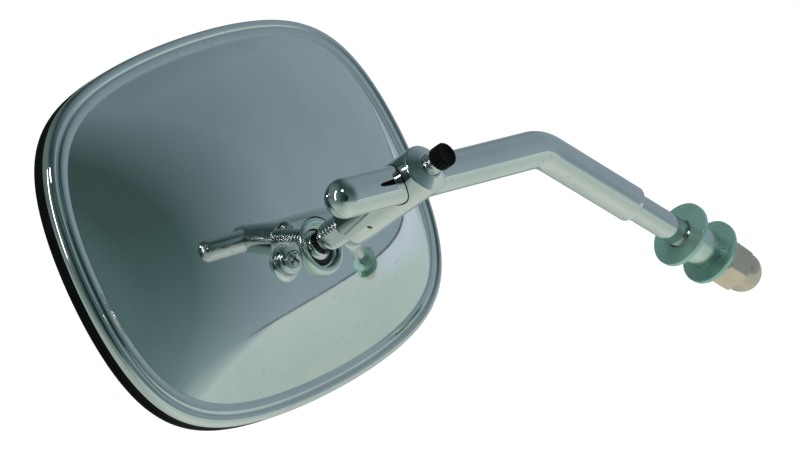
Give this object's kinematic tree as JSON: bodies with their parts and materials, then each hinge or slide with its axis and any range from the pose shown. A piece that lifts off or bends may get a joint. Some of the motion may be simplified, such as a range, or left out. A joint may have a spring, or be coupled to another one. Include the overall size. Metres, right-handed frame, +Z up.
{
  "type": "side mirror",
  "caption": "Rear-view mirror head on a ball joint, clamped by a hub to a bent round arm that ends in a threaded mounting stud with washers and a domed nut.",
  "frame": {"origin": "on the mounting stud's axis, in the plane of the outer washer's face that meets the panel", "axes": "+X along the head's long axis towards the mount, +Y the way the glass faces, +Z up"},
  "size_m": [0.1977, 0.0756, 0.1316],
  "materials": {
    "chrome": "bright decorative chrome plate",
    "chrome_fasteners": "bright plated screws and washers",
    "black_rubber": "satin black moulded rubber",
    "mirror": "silvered flat glass",
    "backing_board": "plain pressed board",
    "foam": "open-cell foam",
    "steel": "plain pressed steel",
    "nylon": "black nylon",
    "brass": "turned brass",
    "black_plastic": "black moulded knurled plastic",
    "zinc": "zinc plate with a green-blue passivation",
    "nickel": "satin nickel plate, slightly warm"
  },
  "bodies": {
    "mount": {"outer_washer": "zinc", "spacer_sleeve": "zinc"},
    "arm": {"arm_rod": "chrome"},
    "clamp_washers": {"inner_washer": "zinc", "lock_washer": "zinc"},
    "nut": {"cap_nut": "nickel"},
    "bush": {"rod_bush": "nylon"},
    "hub": {"hub": "chrome", "ball_stud": "chrome", "stud_lock_pin": "steel"},
    "clamp_pad": {"clamp_pad": "brass"},
    "thumb_screw": {"thumb_screw": "chrome_fasteners", "thumb_cap": "black_plastic"},
    "outer_seat": {"outer_seat": "nylon"},
    "inner_seat": {"inner_seat": "nylon"},
    "head": {"back_shell": "chrome", "rim_bezel": "black_rubber", "mirror_glass": "mirror", "backing_plate": "backing_board", "foam_pad": "foam", "socket_housing": "chrome", "pressure_cup": "steel", "wave_spring": "steel", "retainer_plate": "steel", "pan_screws": "chrome_fasteners", "pan_lock_washers": "chrome_fasteners", "pan_flat_washers": "chrome_fasteners"}
  },
  "joints": [
    {"name": "arm_swivel", "type": "hinge", "parent": "mount", "child": "arm", "pos_m": [0, 0, 0], "axis": [0.7466, 0.0116, -0.6652], "continuous": true},
    {"name": "nut_travel", "type": "slide", "parent": "arm", "child": "clamp_washers", "axis": [0.7466, 0.0116, -0.6652], "range_m": [0, 0.006]},
    {"name": "nut_turn", "type": "hinge", "parent": "clamp_washers", "child": "nut", "pos_m": [0, 0, 0], "axis": [0.7466, 0.0116, -0.6652], "range_deg": [0, 1728]},
    {"name": "hub_slide", "type": "slide", "parent": "arm", "child": "bush", "axis": [0.9931, -0.0162, -0.1159], "range_m": [-0.018, 0.018]},
    {"name": "hub_turn", "type": "hinge", "parent": "bush", "child": "hub", "pos_m": [-0.10159, 0.00022, 0.04668], "axis": [0.9931, -0.0162, -0.1159], "continuous": true},
    {"name": "thumb_travel", "type": "slide", "parent": "hub", "child": "clamp_pad", "axis": [0, -0.9904, 0.1381], "range_m": [0, 0.0021]},
    {"name": "thumb_turn", "type": "hinge", "parent": "clamp_pad", "child": "thumb_screw", "pos_m": [-0.10159, 0.04167, 0.0409], "axis": [0, -0.9904, 0.1381], "range_deg": [0, 756]},
    {"name": "head_spin", "type": "hinge", "parent": "hub", "child": "outer_seat", "pos_m": [-0.10159, 0.04167, 0.0409], "axis": [0, -0.9904, 0.1381], "continuous": true},
    {"name": "head_tilt", "type": "hinge", "parent": "outer_seat", "child": "inner_seat", "pos_m": [-0.10159, 0.04167, 0.0409], "axis": [1, 0, 0], "range_deg": [-20, 6]},
    {"name": "head_pan", "type": "hinge", "parent": "inner_seat", "child": "head", "pos_m": [-0.10159, 0.04167, 0.0409], "axis": [0, 0, 1], "range_deg": [-9, 9]}
  ],
  "couplings": [
    {"joint": "nut_turn", "follows": "nut_travel", "rad_per_m": 5026.5},
    {"joint": "thumb_turn", "follows": "thumb_travel", "rad_per_m": 6283.2}
  ]
}
